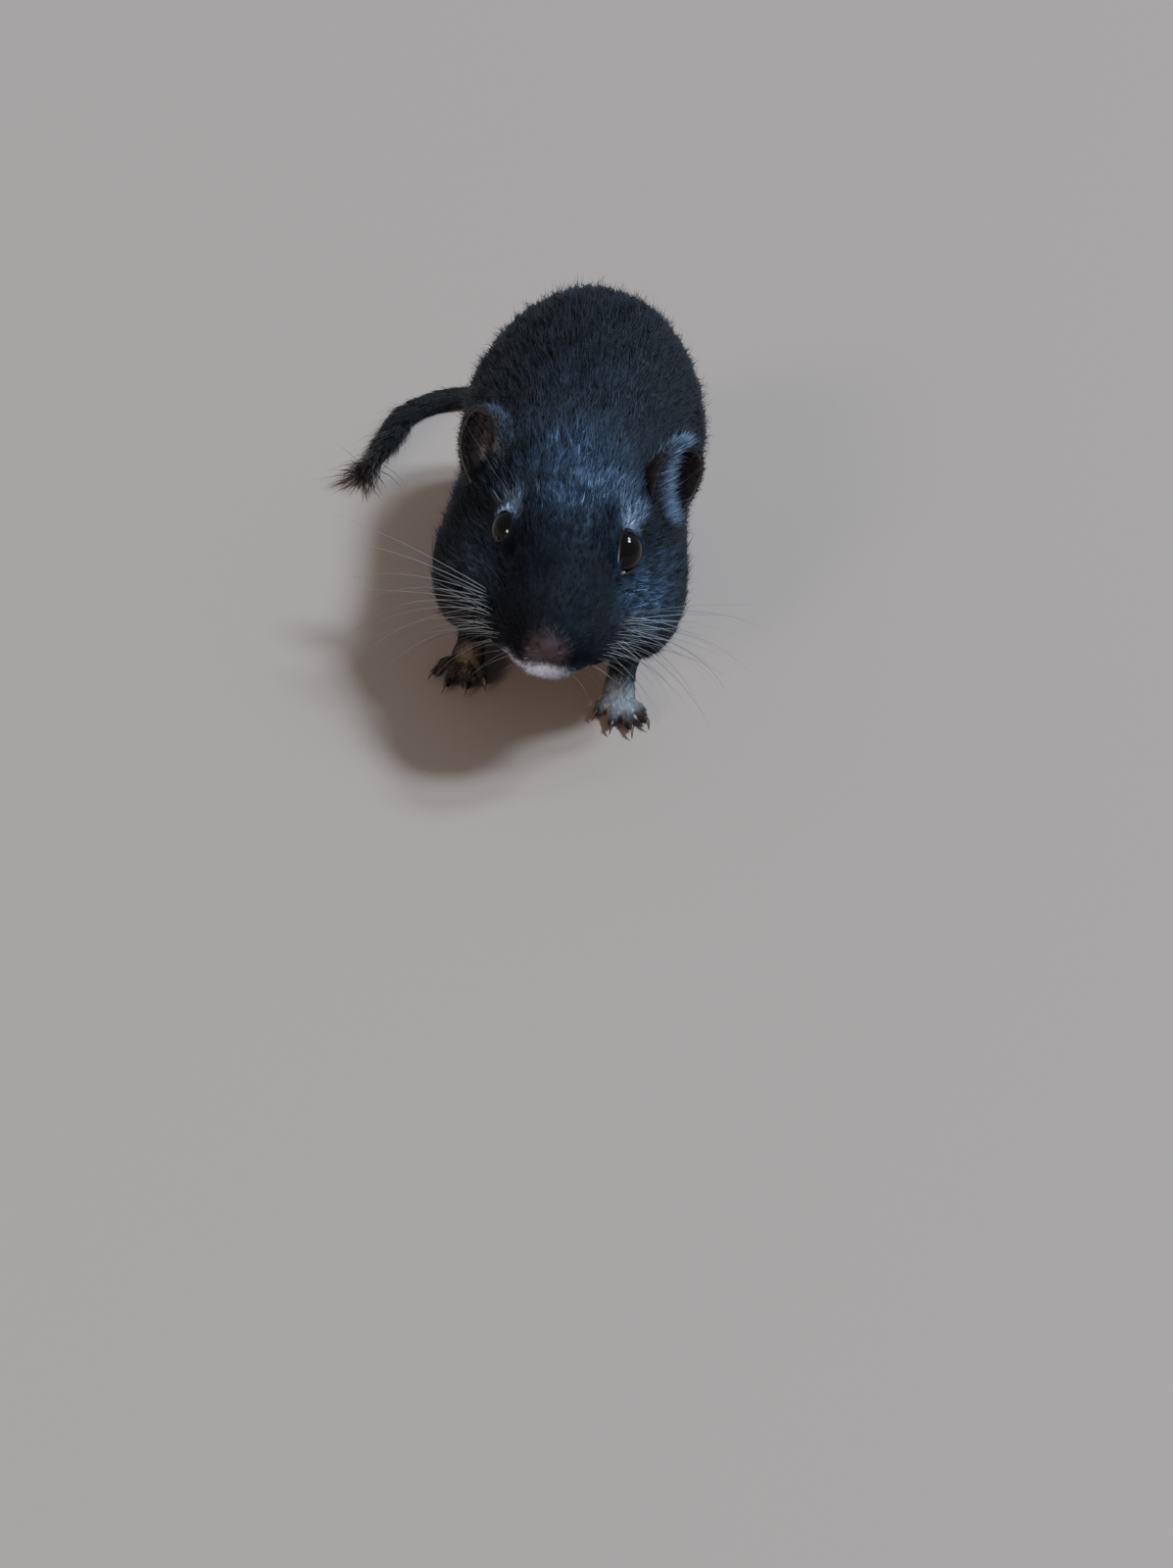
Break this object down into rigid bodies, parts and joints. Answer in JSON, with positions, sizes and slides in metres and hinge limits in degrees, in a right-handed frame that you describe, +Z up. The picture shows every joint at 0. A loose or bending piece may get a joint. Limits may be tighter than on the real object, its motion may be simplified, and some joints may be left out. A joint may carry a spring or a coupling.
{
  "type": "gerbil",
  "caption": "Life-size black gerbil on all fours, with large dark eyes, rounded ears, small clawed feet and a long tail with a brush, curled round on the ground.",
  "frame": {"origin": "on the ground, under the middle of the bounding box of the whole animal with its tail", "axes": "+Z up, the nose points along -Y, and the animal's left side faces +X"},
  "size_m": [0.0712, 0.1424, 0.0496],
  "materials": {
    "coat": "short soft black fur with a cool sheen",
    "ear": "thin dark skin with sparse pale hairs",
    "eye": "wet gloss black",
    "foot": "dark skin under short hair, with dark claws"
  },
  "bodies": {
    "root": {"head": "coat", "neck": "coat", "torso": "coat", "foreleg_left": "coat", "foreleg_right": "coat", "hindleg_left": "coat", "hindleg_right": "coat", "tail_base": "coat", "tail_middle": "coat", "tail_brush": "coat", "ear_left": "ear", "ear_right": "ear", "eye_left": "eye", "eye_right": "eye", "forefoot_left": "foot", "forefoot_right": "foot", "hindfoot_left": "foot", "hindfoot_right": "foot"}
  },
  "joints": []
}
